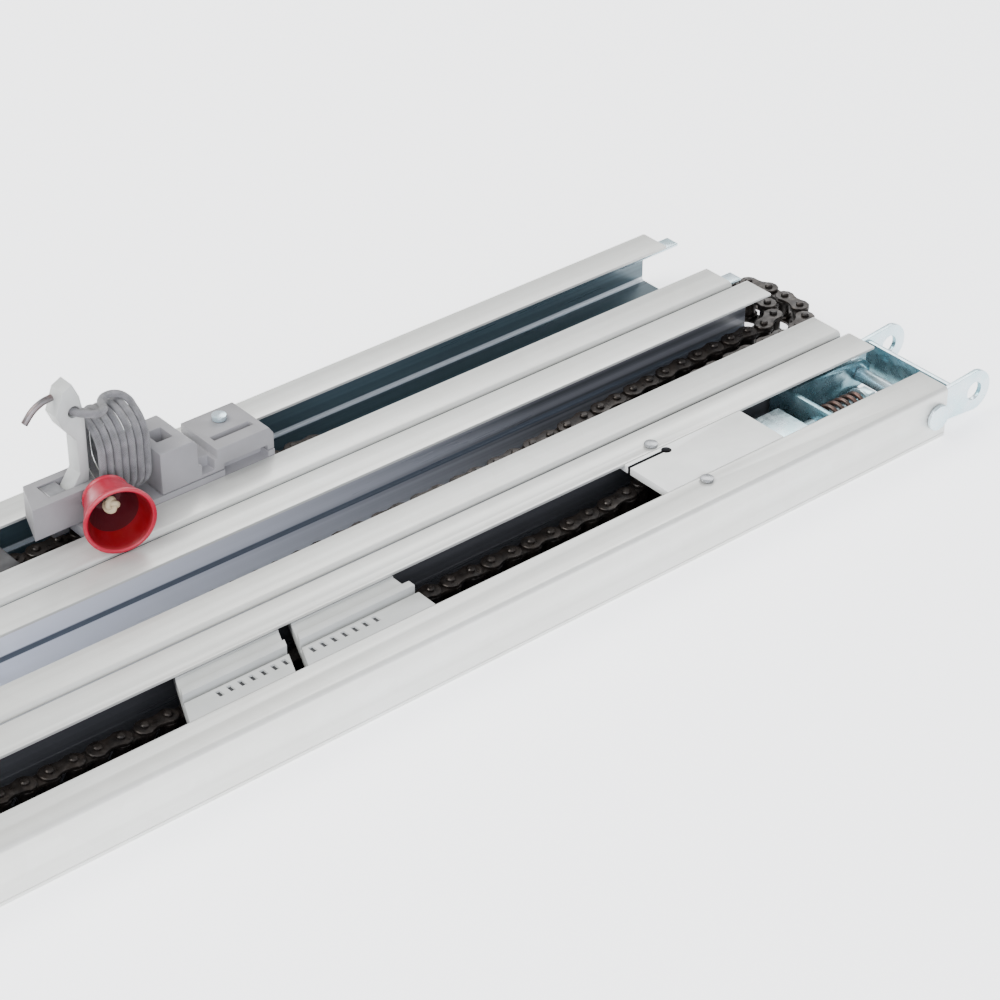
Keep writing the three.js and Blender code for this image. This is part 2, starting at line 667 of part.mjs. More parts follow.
function middleRail() {
  return group(
    [0, 0, 0],
    rail("rail_middle", 0),
    run("chain_middle_near", [
      [LOOSE.left, -21.5], [60, -21.5], [230, -13.6], [330, -11.9], [LOOSE.right, -2],
    ]),
    run("chain_middle_far", [
      [LOOSE.left, -12.1], [60, -12.1], [230, -4], [330, -2.2], [LOOSE.right, 9],
    ]),
    fold("chain_turn_left_inner", -1, LOOSE.foldLeft, -50.7, -21.5, 14.6, -525.6),
    fold("chain_turn_left_outer", -1, LOOSE.foldLeft, -66.5, -12.1, 18, -534.8),
    fold("chain_turn_right_inner", 1, LOOSE.foldRight, 9, 36, 13.5, 521.6),
    fold("chain_turn_right_outer", 1, LOOSE.foldRight, -2, 45.4, 17, 531.2),
  );
}

function rearRail() {
  const start = DRIVE_X + TURN_STRAIGHT + GAP;
  const plateRivet = { x: -468, y: RIVET.offset };
  const sides = [-1, 1];
  return group(
    [0, RAIL.spacing, 0],
    rail("rail_rear", REAR_SHIFT, [
      alongZ(circle(DRIVE_X, 0, 8.2, 24), -1, 2),
      ...sides.map((side) => rivetHole(plateRivet.x, side * plateRivet.y)),
    ]),
    piece("joint_tongue_near", alongX(rectangle(-26, 20.8, -19, LIP_UNDER - GAP), 484, 516.5), zinc()),
    piece("joint_tongue_far", alongX(rectangle(13.2, 20.8, 20, LIP_UNDER - GAP), 484, 516.5), zinc()),
    slotPlate(
      "drive_plate", -519, -458, zinc(),
      alongZ(circle(DRIVE_X, 0, 6.2, 24), 19, 25),
      ...sides.map((side) => rivetHole(plateRivet.x, side * plateRivet.y)),
    ),
    rivet("drive_rivet_near", plateRivet.x, -plateRivet.y),
    rivet("drive_rivet_far", plateRivet.x, plateRivet.y),
    driveBush(),
    driveSprocket(),
    sprocketTurn("chain_turn_drive", DRIVE_X, -1),
    run("chain_rear_near", [
      [start, -PITCH_RADIUS], [-440, -4.7], [190, -4.7], [300, -9.4], [370, -21.5], [LOOSE.right, -21.5],
    ]),
    run("chain_rear_far", [
      [start, PITCH_RADIUS], [-440, 4.7], [190, 4.7], [300, 0], [370, -12.1], [LOOSE.right, -12.1],
    ]),
    piece("chain_shuttle", cut(
      box(SHUTTLE.from, -SHUTTLE.half, SHUTTLE.low, SHUTTLE.to, SHUTTLE.half, SHUTTLE.high),
      box(128, -4.8, 10, 137, 4.8, 25),
    ), blackPlastic()),
  );
}

function trolley() {
  return group(
    [0, RAIL.spacing, 0],
    trolleyGuide(),
    trolleyBody(),
    trolleyNose(),
    TROLLEY_SCREWS.map(([x, y, seat], i) => trolleyScrew(`trolley_screw_${i + 1}`, x, y, seat)),
    releaseLever(),
    leverPin(),
    releaseHook(),
    latch(),
    cordHank(),
    cordLead(),
  );
}

export default group(
  [0, 0, 0],
  frontRail(), middleRail(), rearRail(), trolley(), releaseBell(), cordTail(), cordKnot(),
);
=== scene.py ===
import json
import math

import bmesh
import bpy
import numpy as np
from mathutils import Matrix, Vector


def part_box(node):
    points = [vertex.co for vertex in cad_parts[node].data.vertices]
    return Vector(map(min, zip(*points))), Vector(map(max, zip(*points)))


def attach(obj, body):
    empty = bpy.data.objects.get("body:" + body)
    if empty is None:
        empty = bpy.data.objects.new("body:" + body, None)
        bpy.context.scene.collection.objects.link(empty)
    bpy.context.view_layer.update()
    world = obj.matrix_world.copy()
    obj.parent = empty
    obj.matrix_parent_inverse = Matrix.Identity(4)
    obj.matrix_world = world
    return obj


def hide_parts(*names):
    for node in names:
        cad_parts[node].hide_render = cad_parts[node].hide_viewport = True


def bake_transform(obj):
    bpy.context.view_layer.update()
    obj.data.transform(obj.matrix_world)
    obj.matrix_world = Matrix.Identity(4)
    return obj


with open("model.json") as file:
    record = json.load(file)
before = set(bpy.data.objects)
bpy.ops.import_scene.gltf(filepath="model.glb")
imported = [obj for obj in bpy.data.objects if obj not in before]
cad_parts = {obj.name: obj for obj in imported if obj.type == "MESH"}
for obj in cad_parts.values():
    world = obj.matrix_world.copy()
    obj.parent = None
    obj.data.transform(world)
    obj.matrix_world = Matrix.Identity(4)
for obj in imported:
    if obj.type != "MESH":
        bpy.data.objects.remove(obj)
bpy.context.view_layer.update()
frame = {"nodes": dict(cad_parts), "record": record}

MM = 0.001

# ---- driving dimensions, in millimetres ---------------------------------------------------------

SHEET = 1.2  # thickness of the rails' strip
BEND = 2.0  # outer radius of its bends
EDGE = 0.28  # rounding of its cut edges

PITCH = 9.525  # 3/8 inch roller chain
TEETH = 8
PITCH_RADIUS = PITCH / (2 * math.sin(math.pi / TEETH))
CHAIN_HEIGHT = 13.1  # length of a pin, which stands upright
PLATE_HALF = 4.13  # half the width of a link plate

CORD_DIAMETER = 2.9
BELL_AXIS = Vector((0.28, 0.96, 0.0)).normalized()


def mm_box(node):
    low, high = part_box(node)
    return Vector(low) / MM, Vector(high) / MM


def centre(node):
    low, high = mm_box(node)
    return (low + high) / 2


RAILS = ("rail_front", "rail_middle", "rail_rear")
RAIL_Y = {name: centre(name).y for name in RAILS}
FRONT_Y = RAIL_Y["rail_front"]
REAR_Y = RAIL_Y["rail_rear"]
RAIL_HEIGHT = mm_box("rail_front")[1].z
RAIL_HALF = (mm_box("rail_front")[1].y - mm_box("rail_front")[0].y) / 2
IDLER = centre("idler_sprocket")
DRIVE = centre("drive_sprocket")
CHAIN_MID = mm_box("chain_front_near")[0].z + CHAIN_HEIGHT / 2
TURN_MID = mm_box("chain_turn_idler")[0].z + CHAIN_HEIGHT / 2

# ---- camera -------------------------------------------------------------------------------------

CAMERA_PLACE = (-0.2578, -0.7391, 0.6383)
CAMERA_VIEW = (0.532, 0.638, -0.556)
CAMERA_LENS = 107.2


def make_camera():
    data = bpy.data.cameras.new("camera")
    data.lens = CAMERA_LENS
    data.sensor_width = 36
    data.clip_start = 0.05
    camera = bpy.data.objects.new("camera", data)
    bpy.context.scene.collection.objects.link(camera)
    camera.location = CAMERA_PLACE
    forward = Vector(CAMERA_VIEW).normalized()
    camera.rotation_euler = forward.to_track_quat("-Z", "Y").to_euler()
    bpy.context.scene.camera = camera


make_camera()

# ---- materials ----------------------------------------------------------------------------------


class Paint:
    """A node material built around one Principled shader, in the object's own coordinates."""

    def __init__(self, name, color, roughness, metallic=0.0, **sockets):
        self.material = bpy.data.materials.new(name)
        self.material.use_nodes = True
        self.nodes = self.material.node_tree.nodes
        self.links = self.material.node_tree.links
        self.shader = self.nodes["Principled BSDF"]
        self.color = color
        self.shader.inputs["Base Color"].default_value = (*color, 1)
        self.shader.inputs["Roughness"].default_value = roughness
        self.shader.inputs["Metallic"].default_value = metallic
        for socket, value in sockets.items():
            self.shader.inputs[socket.replace("_", " ")].default_value = value
        self.coordinates = self.nodes.new("ShaderNodeTexCoord").outputs["Object"]

    def stretched(self, scale):
        """The object's coordinates, scaled axis by axis."""
        node = self.nodes.new("ShaderNodeMapping")
        node.inputs["Scale"].default_value = scale
        self.links.new(self.coordinates, node.inputs["Vector"])
        return node.outputs["Vector"]

    def noise(self, scale, detail=4.0, stretch=(1, 1, 1)):
        node = self.nodes.new("ShaderNodeTexNoise")
        node.inputs["Scale"].default_value = scale
        node.inputs["Detail"].default_value = detail
        self.links.new(self.stretched(stretch), node.inputs["Vector"])
        return node.outputs["Fac"]

    def cells(self, scale):
        """A random value for each cell, as for the crystals of a zinc coat."""
        node = self.nodes.new("ShaderNodeTexVoronoi")
        node.inputs["Scale"].default_value = scale
        self.links.new(self.coordinates, node.inputs["Vector"])
        bright = self.nodes.new("ShaderNodeSeparateColor")
        self.links.new(node.outputs["Color"], bright.inputs["Color"])
        return bright.outputs["Red"]

    def spread(self, value, low, high, start=0.3, end=0.7):
        """Map value's range from start to end onto the range from low to high."""
        node = self.nodes.new("ShaderNodeMapRange")
        ends = {"From Min": start, "From Max": end, "To Min": low, "To Max": high}
        for socket, number in ends.items():
            node.inputs[socket].default_value = number
        self.links.new(value, node.inputs["Value"])
        return node.outputs["Result"]

    def along(self, axis):
        """One of the object's coordinates, in metres."""
        node = self.nodes.new("ShaderNodeSeparateXYZ")
        self.links.new(self.coordinates, node.inputs["Vector"])
        return node.outputs[axis]

    def both(self, one, other):
        """High only where one and other are both high."""
        node = self.nodes.new("ShaderNodeMath")
        node.operation = "MULTIPLY"
        self.links.new(one, node.inputs[0])
        self.links.new(other, node.inputs[1])
        return node.outputs["Value"]

    def tint(self, value, color, amount, start=0.35, end=0.7):
        """Mix towards color where value is high, by up to amount."""
        node = self.nodes.new("ShaderNodeMix")
        node.data_type = "RGBA"
        self.links.new(self.spread(value, 0.0, amount, start, end), node.inputs["Factor"])
        base = self.shader.inputs["Base Color"]
        if base.is_linked:
            self.links.new(base.links[0].from_socket, node.inputs["A"])
        else:
            node.inputs["A"].default_value = (*self.color, 1)
        node.inputs["B"].default_value = (*color, 1)
        self.links.new(node.outputs["Result"], base)
        return self

    def rough(self, value, low, high):
        self.links.new(self.spread(value, low, high), self.shader.inputs["Roughness"])
        return self

    def bump(self, value, distance, strength=0.5):
        node = self.nodes.new("ShaderNodeBump")
        node.inputs["Strength"].default_value = strength
        node.inputs["Distance"].default_value = distance
        normal = self.shader.inputs["Normal"]
        if normal.is_linked:
            self.links.new(normal.links[0].from_socket, node.inputs["Normal"])
        self.links.new(value, node.inputs["Height"])
        self.links.new(node.outputs["Normal"], normal)
        return self


def galvanised():
    """Skin-passed galvanised strip: faint spangle, roll lines along X, a little handling grime."""
    paint = Paint("galvanised", (0.67, 0.675, 0.64), 0.42, 0.4)
    lines = paint.noise(60, 3, (0.02, 6, 6))
    paint.tint(paint.cells(160), (0.75, 0.76, 0.73), 0.35, 0.1, 0.9)
    paint.tint(lines, (0.54, 0.54, 0.50), 0.35)
    paint.tint(paint.noise(14, 5), (0.57, 0.555, 0.49), 0.25)
    paint.rough(paint.noise(90, 4, (0.05, 3, 3)), 0.30, 0.48)
    paint.bump(lines, 0.00008, 0.25).bump(paint.noise(900, 2), 0.00002, 0.2)
    return paint.material


def rail_inside(name, dark, middle_y, painted_light=None, painted_bend=None, metallic=0.4):
    """The same strip's inner faces, coloured dark as painted shade for the inside of the channel.

    The fourth argument, if given, is (color, from X, to X), in millimetres: a painted pool of light
    that comes in towards -X.
    The fifth, if given, is the color of a painted highlight or a painted shade line on the bend
    between the floor and the far wall.
    """
    paint = Paint(name, dark, 0.34, metallic)
    lines = paint.noise(60, 3, (0.02, 6, 6))
    paint.tint(lines, tuple(c * 1.9 for c in dark), 0.6)
    paint.tint(paint.noise(25, 5, (0.3, 1, 1)), tuple(c * 0.5 for c in dark), 0.6)
    if painted_light:
        color, from_x, to_x = painted_light
        # painted light, growing from the first X to full at the second X and beyond, towards -X
        paint.tint(paint.along("X"), color, 0.94, from_x * MM, to_x * MM)
        paint.tint(lines, tuple(c * 0.8 for c in color), 0.25)
    if painted_bend:
        # a painted highlight or painted shade line on the bend between the floor and the far wall
        far_wall = (middle_y + RAIL_HALF - SHEET) * MM
        deep = paint.spread(paint.along("Y"), 0, 1, far_wall - 1.5 * MM, far_wall - 0.9 * MM)
        low = paint.spread(paint.along("Z"), 1, 0, 2.4 * MM, 3.0 * MM)
        paint.tint(paint.both(deep, low), painted_bend, 1.0, 0.0, 1.0)
    paint.rough(paint.noise(120, 4, (0.1, 2, 2)), 0.24, 0.5)
    paint.bump(lines, 0.00006, 0.25)
    return paint.material


def zinc(name="zinc", color=(0.62, 0.76, 0.80), stain=(0.34, 0.62, 0.68), bloom=(0.80, 0.78, 0.84)):
    """Bright zinc plate with a cool passivated cast."""
    paint = Paint(name, color, 0.26, 0.8)
    paint.tint(paint.noise(70, 4), stain, 0.6)
    paint.tint(paint.noise(160, 3), bloom, 0.40)
    paint.rough(paint.noise(240, 4), 0.18, 0.36)
    paint.bump(paint.noise(1200, 2), 0.00003, 0.3)
    return paint.material


def chain_steel():
    """Dark blued chain steel with oil in patches and small brighter spots of wear."""
    paint = Paint("chain_steel", (0.016, 0.014, 0.013), 0.40, 0.6)
    paint.tint(paint.noise(220, 4), (0.038, 0.029, 0.023), 0.7)
    paint.tint(paint.noise(700, 3), (0.10, 0.087, 0.078), 0.35, 0.5, 0.8)
    paint.rough(paint.noise(320, 4), 0.24, 0.52)
    paint.bump(paint.noise(1500, 3), 0.00004, 0.35)
    return paint.material


def tooth_steel():
    paint = Paint("tooth_steel", (0.30, 0.30, 0.31), 0.38, 0.85)
    paint.tint(paint.noise(150, 4), (0.18, 0.17, 0.17), 0.6)
    paint.tint(paint.noise(600, 3), (0.45, 0.45, 0.46), 0.4)
    paint.rough(paint.noise(260, 4), 0.28, 0.5)
    paint.bump(paint.noise(1300, 3), 0.00004, 0.4)
    return paint.material


def spring_steel(name="spring_steel", color=(0.10, 0.075, 0.065)):
    paint = Paint(name, color, 0.35, 0.8)
    paint.tint(paint.noise(260, 4), (0.20, 0.10, 0.08), 0.5)
    paint.rough(paint.noise(400, 3), 0.25, 0.45)
    paint.bump(paint.noise(1400, 2), 0.00003, 0.3)
    return paint.material


def moulded(name, color, roughness=0.5, grain=0.00005, **sockets):
    """Injection moulding: fine spark-eroded grain, flow clouds and patches of dull skin."""
    paint = Paint(name, color, roughness, 0.0, **sockets)
    darker = tuple(c * 0.80 for c in color)
    lighter = tuple(min(c * 1.12 + 0.01, 1) for c in color)
    paint.tint(paint.noise(45, 5), darker, 0.45)
    paint.tint(paint.noise(130, 4), lighter, 0.35)
    paint.rough(paint.noise(200, 3), roughness - 0.07, roughness + 0.09)
    paint.bump(paint.noise(2600, 2), grain, 0.45).bump(paint.noise(60, 3), 0.0002, 0.12)
    return paint.material


def bronze():
    paint = Paint("bronze", (0.50, 0.35, 0.16), 0.42, 0.9)
    paint.tint(paint.noise(500, 3), (0.30, 0.20, 0.10), 0.6)
    paint.rough(paint.noise(700, 3), 0.32, 0.55)
    paint.bump(paint.noise(1800, 3), 0.00005, 0.4)
    return paint.material


def braided(name, color):
    """Braided cord: two sets of yarns cross in a herringbone, laid out by the tube's cord_map."""
    paint = Paint(name, color, 0.85, 0.0, Sheen_Weight=0.35)
    uv = paint.nodes.new("ShaderNodeUVMap")
    uv.uv_map = "cord_map"
    waves = []
    for lean in (1, -1):
        mapping = paint.nodes.new("ShaderNodeMapping")
        mapping.inputs["Rotation"].default_value = (0, 0, lean * math.radians(42))
        paint.links.new(uv.outputs["UV"], mapping.inputs["Vector"])
        wave = paint.nodes.new("ShaderNodeTexWave")
        wave.inputs["Scale"].default_value = 0.9
        wave.inputs["Distortion"].default_value = 0.25
        paint.links.new(mapping.outputs["Vector"], wave.inputs["Vector"])
        waves.append(wave.outputs["Fac"])
    yarns = paint.nodes.new("ShaderNodeMath")
    yarns.operation = "MAXIMUM"
    paint.links.new(waves[0], yarns.inputs[0])
    paint.links.new(waves[1], yarns.inputs[1])
    dark = tuple(c * 0.35 for c in color)
    light = tuple(min(c * 2.6, 1) for c in color)
    # painted highlights, as lighter speckles along the cord
    paint.tint(paint.noise(240, 4), light, 0.6)
    # painted shade in the grooves between the yarns
    paint.tint(paint.spread(yarns.outputs["Value"], 1.0, 0.0, 0.3, 0.9), dark, 0.65, 0.2, 1.0)
    paint.bump(yarns.outputs["Value"], 0.0004, 0.8).bump(paint.noise(3000, 2), 0.00006, 0.4)
    return paint.material


def studio_floor():
    glow = {"Emission_Color": (0.97, 0.98, 1.0, 1), "Emission_Strength": 1.8}
    paint = Paint("studio_floor", (0.90, 0.90, 0.90), 0.7, **glow)
    paint.tint(paint.noise(3, 3), (0.88, 0.88, 0.885), 0.5)
    paint.bump(paint.noise(400, 3), 0.0001, 0.1)
    return paint.material


MATERIALS = {
    "galvanised_strip": galvanised(),
    "zinc": zinc(),
    "chain_steel": chain_steel(),
    "tooth_steel": tooth_steel(),
    "black_plastic": moulded("black_nylon", (0.022, 0.022, 0.023), 0.45),
    "grey_plastic": moulded("grey_nylon", (0.25, 0.245, 0.25), 0.5),
    "pale_plastic": moulded("pale_plastic", (0.44, 0.45, 0.43), 0.45),
    "red_plastic": moulded(
        "red_plastic", (0.37, 0.0, 0.022), 0.36, 0.00002, Coat_Weight=0.3, Coat_Roughness=0.2
    ),
    "cord_fibre": braided("grey_braid", (0.13, 0.128, 0.132)),
    "knot_fibre": moulded("knot_fibre", (0.52, 0.43, 0.27), 0.8, 0.0002),
    "spring_steel": spring_steel(),
    "bronze": bronze(),
}
# Painted shade for each rail's inner faces; the middle rail adds a painted pool of light towards -X
# and a painted shade line in its bend, the rear rail a painted highlight along its bend.
INSIDE = {
    "rail_front": rail_inside("front_inside", (0.085, 0.088, 0.095), FRONT_Y),
    "rail_middle": rail_inside(
        "middle_inside", (0.075, 0.08, 0.09), RAIL_Y["rail_middle"],
        painted_light=((0.90, 0.93, 1.0), 400, 150), painted_bend=(0.10, 0.12, 0.15), metallic=0.1,
    ),
    "rail_rear": rail_inside("rear_inside", (0.075, 0.115, 0.135), REAR_Y, painted_bend=(0.80, 0.86, 0.90)),
}
# Painted shade inside the bell, darker still deep in its throat.
RED_SHADE = moulded("red_inside_shade", (0.20, 0.0, 0.004), 0.42, 0.00002)
RED_DEEP_SHADE = moulded("red_throat_shade", (0.06, 0.0, 0.003), 0.5, 0.00002)
# A darker copy of the zinc: painted shade for zinc parts and faces inside the rail's end.
SHADED_ZINC = zinc("shaded_zinc", (0.20, 0.38, 0.43), (0.06, 0.17, 0.20), (0.46, 0.62, 0.68))
DULL_RIVET = zinc("dull_rivet", (0.30, 0.31, 0.32), (0.20, 0.21, 0.22), (0.40, 0.40, 0.41))
HOOK_WIRE = spring_steel("hook_wire", (0.17, 0.17, 0.175))
COVER_WHITE = moulded("cover_white", (0.80, 0.81, 0.77), 0.4)

# ---- mesh helpers -------------------------------------------------------------------------------


def plain_object(name, vertices, faces):
    """A mesh from points in millimetres in the row frame."""
    mesh = bpy.data.meshes.new(name)
    mesh.from_pydata([tuple(c * MM for c in v) for v in vertices], [], faces)
    obj = bpy.data.objects.new(name, mesh)
    bpy.context.scene.collection.objects.link(obj)
    return obj


def mesh_object(name, vertices, faces, slot, smooth_angle=35):
    """The same with the finish of a material slot."""
    obj = plain_object(name, vertices, faces)
    obj.data.validate()
    return dressed(obj, slot, smooth_angle)


def dressed(obj, slot, smooth_angle=35):
    """Give obj a slot's finish, smooth but for edges sharper than smooth_angle."""
    obj.data.materials.clear()
    obj.data.materials.append(MATERIALS[slot])
    obj.data.shade_smooth()
    obj.data.set_sharp_from_angle(angle=math.radians(smooth_angle))
    return obj


def applied(obj):
    """Replace obj's mesh by what its modifiers make of it."""
    depsgraph = bpy.context.evaluated_depsgraph_get()
    mesh = bpy.data.meshes.new_from_object(obj.evaluated_get(depsgraph))
    obj.modifiers.clear()
    obj.data = mesh
    return obj


def bevelled(obj, width, segments=2):
    modifier = obj.modifiers.new("bevel", "BEVEL")
    modifier.width = width * MM
    modifier.segments = segments
    modifier.limit_method = "ANGLE"
    modifier.angle_limit = math.radians(35)
    modifier.harden_normals = False
    return applied(obj)


def block_points(low, high):
    """Points and faces of a box."""
    xs, ys, zs = zip(low, high)
    corners = [(x, y, z) for x in xs for y in ys for z in zs]
    faces = [(0, 1, 3, 2), (4, 6, 7, 5), (0, 4, 5, 1), (2, 3, 7, 6), (0, 2, 6, 4), (1, 5, 7, 3)]
    return corners, faces


def prism_points(outline, low, high, place):
    """Outline of (u, v) pairs run from low to high; place turns (u, v, w) into a point."""
    count = len(outline)
    points = [place(u, v, w) for w in (low, high) for u, v in outline]
    faces = [tuple(reversed(range(count))), tuple(range(count, 2 * count))]
    faces += [(i, (i + 1) % count, (i + 1) % count + count, i + count) for i in range(count)]
    return points, faces


def round_outline(u, v, radius, steps=28):
    turns = (2 * math.pi * i / steps for i in range(steps))
    return [(u + radius * math.cos(a), v + radius * math.sin(a)) for a in turns]


def cut_away(obj, tool):
    modifier = obj.modifiers.new("cut", "BOOLEAN")
    modifier.operation = "DIFFERENCE"
    modifier.solver = "EXACT"
    modifier.object = tool
    applied(obj)
    bpy.data.objects.remove(tool)


def refined(node, slot, body, bevel, cuts):
    """A CAD node's own shape with finer cuts, and every hard edge softened."""
    obj = bpy.data.objects.new(f"{node}_fine", frame["nodes"][node].data.copy())
    bpy.context.scene.collection.objects.link(obj)
    for points in cuts:
        cut_away(obj, plain_object("cutter", *points))
    shape = bmesh.new()
    shape.from_mesh(obj.data)
    bmesh.ops.remove_doubles(shape, verts=shape.verts, dist=0.00001)
    bmesh.ops.dissolve_limit(
        shape, angle_limit=math.radians(1.5), verts=shape.verts, edges=shape.edges, delimit={"NORMAL"}
    )
    shape.to_mesh(obj.data)
    shape.free()
    bevelled(obj, bevel)
    dressed(obj, slot)
    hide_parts(node)
    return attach(obj, body)


def second_finish(obj, material, chosen):
    """Give the faces that chosen(centre, normal) picks, in millimetres, another finish."""
    obj.data.materials.append(material)
    for polygon in obj.data.polygons:
        if chosen(polygon.center / MM, polygon.normal):
            polygon.material_index = len(obj.data.materials) - 1


def swept(name, path, radius, slot, sides=12, domed=True):
    """A round tube along points in millimetres, with domed or flat ends.

    The second result is how far along the tube each ring of points lies.
    """
    points = [Vector(p) for p in path]
    last = len(points) - 1
    # each ring of a dome: how far in from the tip, and its size, as shares of the whole
    dome = [(0.0, 0.35), (0.45, 0.78), (1.0, 1.0)] if domed else [(1.0, 1.0)]
    tip = radius * 0.6
    side = (points[1] - points[0]).normalized().orthogonal().normalized()
    vertices, lengths, along = [], [], 0.0
    for i, point in enumerate(points):
        heading = (points[min(i + 1, last)] - points[max(i - 1, 0)]).normalized()
        side = (side - heading * side.dot(heading)).normalized()
        other = heading.cross(side)
        rings = [(0.0, 1.0)]
        if i > 0:
            along += (point - points[i - 1]).length
        if i == 0:
            rings = [(-tip * (1 - depth), size) for depth, size in dome]
        elif i == last:
            rings = [(tip * (1 - depth), size) for depth, size in reversed(dome)]
        for ahead, size in rings:
            lengths.append(along)
            for k in range(sides):
                angle = 2 * math.pi * k / sides
                outward = side * math.cos(angle) + other * math.sin(angle)
                vertices.append(point + heading * ahead + outward * radius * size)
    faces = [tuple(reversed(range(sides)))]
    for a in range(0, len(vertices) - sides, sides):
        b = a + sides
        faces += [(a + k, a + (k + 1) % sides, b + (k + 1) % sides, b + k) for k in range(sides)]
    faces.append(tuple(range(len(vertices) - sides, len(vertices))))
    return mesh_object(name, vertices, faces, slot, 60), lengths


def add_cord_map(obj, sides, lengths, radius):
    """UV in units of the cord's radius: u along it, v round it."""
    layer = obj.data.uv_layers.new(name="cord_map")
    for polygon in obj.data.polygons:
        columns = [obj.data.loops[k].vertex_index % sides for k in polygon.loop_indices]
        wraps = max(columns) - min(columns) > sides / 2
        for k, column in zip(polygon.loop_indices, columns):
            row = obj.data.loops[k].vertex_index // sides
            turn = column + (sides if wraps and column == 0 else 0)
            layer.data[k].uv = (lengths[row] / radius, turn * 2 * math.pi / sides)


def smooth_line(points, step):
    """Catmull-Rom line through points, in steps of about one length."""
    points = [Vector(p) for p in points]
    line = [points[0]]
    for i in range(len(points) - 1):
        p1, p2 = points[i], points[i + 1]
        p0 = points[i - 1] if i > 0 else p1 * 2 - p2
        p3 = points[i + 2] if i + 2 < len(points) else p2 * 2 - p1
        count = max(2, round((p2 - p1).length / step))
        for k in range(1, count + 1):
            t = k / count
            line.append(
                0.5 * (2 * p1 + (p2 - p0) * t + (2 * p0 - 5 * p1 + 4 * p2 - p3) * t**2
                       + (3 * p1 - p0 - 3 * p2 + p3) * t**3)
            )
    return line


def turned(name, profile, origin, axis, slot, steps=64):
    """A closed (radius, height) profile turned about an axis through origin."""
    turn = Vector((0, 0, 1)).rotation_difference(axis).to_matrix()
    vertices, faces = [], []
    count = len(profile)
    for i in range(steps):
        angle = 2 * math.pi * i / steps
        for radius, height in profile:
            local = Vector((radius * math.cos(angle), radius * math.sin(angle), height))
            vertices.append(Vector(origin) + turn @ local)
        after = (i + 1) % steps
        for k in range(count):
            k2 = (k + 1) % count
            faces.append((i * count + k, after * count + k, after * count + k2, i * count + k2))
    return mesh_object(name, vertices, faces, slot, 38)


# ---- release cord -------------------------------------------------------------------------------

HANK_LOW, HANK_HIGH = mm_box("cord_hank")
BELL_LOW, BELL_HIGH = mm_box("release_bell")
LEVER_HIGH = mm_box("release_lever")[1]
EYE = Vector((LEVER_HIGH.x - 4.2, REAR_Y, LEVER_HIGH.z - 11.5))
HANK_STEP = CORD_DIAMETER + 0.32  # from one turn to the next
TURN_POINTS = 36
BELL_RADIUS = (BELL_HIGH.z - BELL_LOW.z) / 2
BELL_LENGTH = 20.5
KNOT_STRAND = 1.15  # radius of the cord's core, which the knot shows
BELL_MOUTH = Vector((203.5, 26.5, (BELL_LOW.z + BELL_HIGH.z) / 2))


def hank_turns():
    """Oval turns side by side, wound from the +X end to the -X end of the hank."""
    radius = CORD_DIAMETER / 2
    half_wide = (HANK_HIGH.y - HANK_LOW.y) / 2 - radius
    half_high = (HANK_HIGH.z - HANK_LOW.z) / 2 - radius
    straight = half_high - half_wide
    middle = (HANK_LOW + HANK_HIGH) / 2
    first = HANK_HIGH.x - radius - 0.2
    turns = int((HANK_HIGH.x - HANK_LOW.x - CORD_DIAMETER) / HANK_STEP)
    points = []
    for i in range(turns * TURN_POINTS + 10):
        angle = 2 * math.pi * i / TURN_POINTS
        slack = 1 - 0.035 * (1 + math.sin(angle * 0.37 + 1.1)) / 2
        y = -math.sin(angle) * half_wide * slack
        z = math.cos(angle) * half_wide
        if abs(math.cos(angle)) >= 0.05:
            z = z * slack + math.copysign(straight, z)
        points.append(Vector((first - HANK_STEP * i / TURN_POINTS, middle.y + y, middle.z + z)))
    return points


def cord_route():
    """From the lever's eye over the hank's top, through its turns and into the bell's throat."""
    top = HANK_HIGH.z
    hole = BELL_MOUTH + BELL_AXIS * BELL_LENGTH
    lead = [
        EYE + Vector((0, 5.6, 0)),
        EYE + Vector((0, 1.8, 0)),
        EYE + Vector((0, -1.9, 0.1)),
        EYE + Vector((1.1, -5.5, 0)),
        EYE + Vector((4.1, -7.9, -0.5)),
        EYE + Vector((7.5, -8.2, -1.3)),
        Vector((215.8, REAR_Y - 5.5, top + 4.5)),
        Vector((217.8, REAR_Y - 1.5, top + 3.4)),
        Vector((219.6, REAR_Y + 2.6, top + 2.6)),
        Vector((222.6, REAR_Y + 5.2, top + 2.1)),
        Vector((226.2, REAR_Y + 5.6, top + 1.8)),
        Vector((229.2, REAR_Y + 4.1, top + 1.0)),
        Vector((231.0, REAR_Y + 1.6, top - 0.7)),
    ]
    tail = [
        hole + BELL_AXIS * 2.1 + Vector((0.8, 0, 3.4)),
        hole + BELL_AXIS * 0.5 + Vector((0.35, 0, 1.3)),
        hole - BELL_AXIS * 1.9 + Vector((0.05, 0, 0.2)),
        hole - BELL_AXIS * 4.6,
        hole - BELL_AXIS * 8.0,
    ]
    return smooth_line(lead + hank_turns()[2:] + tail, 1.2)


def make_cord():
    route = cord_route()
    sides = 12
    cord, lengths = swept("release_cord", route, CORD_DIAMETER / 2, "cord_fibre", sides)
    add_cord_map(cord, sides, lengths, CORD_DIAMETER / 2)
    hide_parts("cord_hank", "cord_lead", "cord_tail")
    bell = make_bell()
    knot = make_knot()
    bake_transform(cord)


